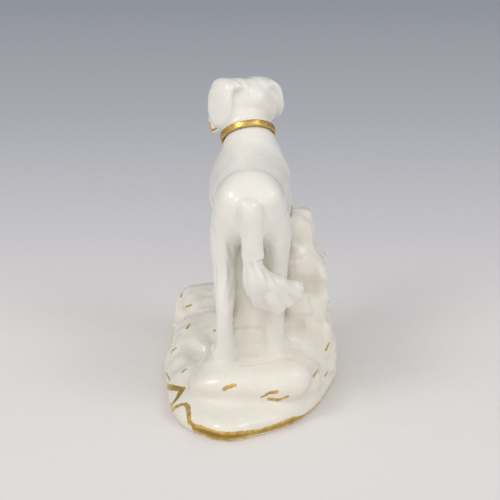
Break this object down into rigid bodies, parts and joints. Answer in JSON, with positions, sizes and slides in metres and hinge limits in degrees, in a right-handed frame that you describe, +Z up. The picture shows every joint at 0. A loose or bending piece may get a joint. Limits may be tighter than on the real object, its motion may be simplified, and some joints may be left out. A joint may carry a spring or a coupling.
{
  "type": "staffordshire dog figure",
  "caption": "Glazed porcelain figure of a feathered gun dog standing on a rockwork base, with its head turned, a gilt collar and a gilt base edge; a shelf ornament.",
  "frame": {"origin": "on the table, under the middle of the base's outline", "axes": "+Z up, +Y the way the dog stands, +X its right side"},
  "size_m": [0.0822, 0.154, 0.1342],
  "materials": {
    "porcelain": "glossy clear glaze over white porcelain",
    "gilding": "burnished gold over the glaze"
  },
  "bodies": {
    "root": {"plinth": "porcelain", "rear_boulder": "porcelain", "front_boulder": "porcelain", "rear_ledge": "porcelain", "middle_ledge": "porcelain", "front_ledge": "porcelain", "flank_rock": "porcelain", "belly_prop": "porcelain", "torso": "porcelain", "head": "porcelain", "left_ear": "porcelain", "right_ear": "porcelain", "collar": "gilding", "left_hind_leg": "porcelain", "right_hind_leg": "porcelain", "left_foreleg": "porcelain", "right_foreleg": "porcelain", "tail": "porcelain"}
  },
  "joints": []
}
